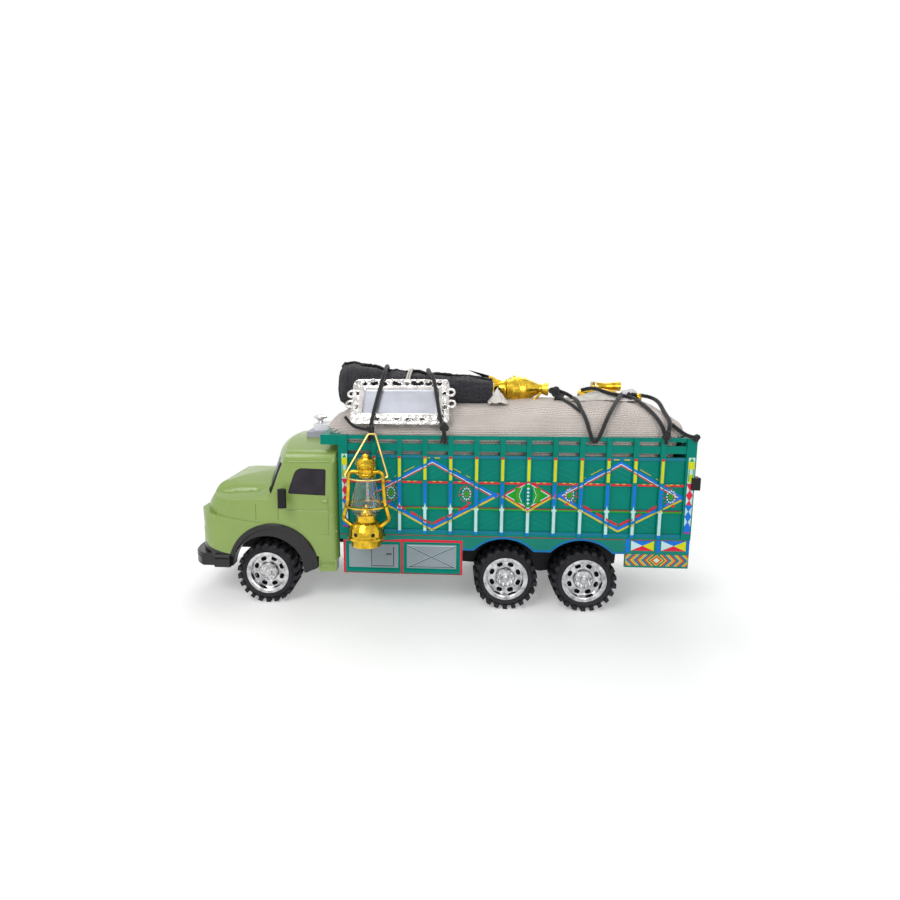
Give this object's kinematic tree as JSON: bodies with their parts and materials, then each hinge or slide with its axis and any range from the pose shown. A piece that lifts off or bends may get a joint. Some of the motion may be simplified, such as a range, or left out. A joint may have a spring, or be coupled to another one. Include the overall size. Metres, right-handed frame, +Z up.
{
  "type": "decorated toy truck",
  "caption": "Bonneted toy lorry with a green cab, a painted slatted bed and a tied-on load of sack, cloth roll, tray, coffee pot and a hanging hurricane lantern.",
  "frame": {"origin": "on the floor under the middle of the whole outline, lantern included", "axes": "+Z up, the truck faces -X, its left side with the lantern faces -Y"},
  "size_m": [0.445, 0.1683, 0.2181],
  "materials": {
    "steel": "plain steel bar",
    "tyre": "moulded rubber",
    "wheel_chrome": "bright",
    "black_plastic": "moulded",
    "black_gloss": "glossy moulded",
    "cab_green": "glossy moulded",
    "dark_glazing": "glossy, dark",
    "trim_chrome": "bright",
    "roof_grey": "moulded",
    "painted_board": "painted in traditional bands and diamonds",
    "sackcloth": "coarse knit",
    "dark_cloth": "coarse weave",
    "wool": "plaited wool",
    "silver": "embossed",
    "gilt": "bright gilt",
    "lantern_glass": "clear"
  },
  "bodies": {
    "root": {"bed_floor": "painted_board", "bed_headboard": "painted_board", "bed_side_left": "painted_board", "bed_side_right": "painted_board", "bumper_and_arches": "black_gloss", "cab": "cab_green", "cab_glazing": "dark_glazing", "chassis": "black_plastic", "cloth_roll": "dark_cloth", "coffee_pot": "gilt", "cord_front": "wool", "cord_middle": "wool", "cord_rear": "wool", "cord_tray": "wool", "cups": "gilt", "grille": "trim_chrome", "headlamps": "trim_chrome", "latches": "black_plastic", "mirrors": "black_plastic", "roof_box": "roof_grey", "roof_knob": "trim_chrome", "sack": "sackcloth", "skirt_left": "painted_board", "skirt_right": "painted_board", "toolboxes_left": "painted_board", "toolboxes_right": "painted_board", "tray": "silver"},
    "front_wheels": {"axle_front": "steel", "tyre_front_left": "tyre", "tyre_front_right": "tyre", "wheel_front_left": "wheel_chrome", "wheel_front_right": "wheel_chrome"},
    "middle_wheels": {"axle_middle": "steel", "tyre_middle_left": "tyre", "tyre_middle_right": "tyre", "wheel_middle_left": "wheel_chrome", "wheel_middle_right": "wheel_chrome"},
    "rear_wheels": {"axle_rear": "steel", "tyre_rear_left": "tyre", "tyre_rear_right": "tyre", "wheel_rear_left": "wheel_chrome", "wheel_rear_right": "wheel_chrome"},
    "tailgate": {"tailgate": "painted_board"},
    "lantern": {"lantern_frame": "gilt", "lantern_glass": "lantern_glass", "lantern_bail": "gilt"}
  },
  "joints": [
    {"name": "front_wheels_roll", "type": "hinge", "parent": "root", "child": "front_wheels", "pos_m": [-0.1488, 0.01315, 0.0275], "axis": [0, 1, 0], "continuous": true},
    {"name": "middle_wheels_roll", "type": "hinge", "parent": "root", "child": "middle_wheels", "pos_m": [0.0649, 0.01315, 0.0275], "axis": [0, 1, 0], "continuous": true},
    {"name": "rear_wheels_roll", "type": "hinge", "parent": "root", "child": "rear_wheels", "pos_m": [0.133, 0.01315, 0.0275], "axis": [0, 1, 0], "continuous": true},
    {"name": "tailgate_fold", "type": "hinge", "parent": "root", "child": "tailgate", "pos_m": [0.216, 0.01315, 0.0716], "axis": [0, 1, 0], "range_deg": [0, 90]},
    {"name": "lantern_swing", "type": "hinge", "parent": "root", "child": "lantern", "pos_m": [-0.0512, -0.05585, 0.157], "axis": [-1, 0, 0], "range_deg": [0, 60]}
  ]
}
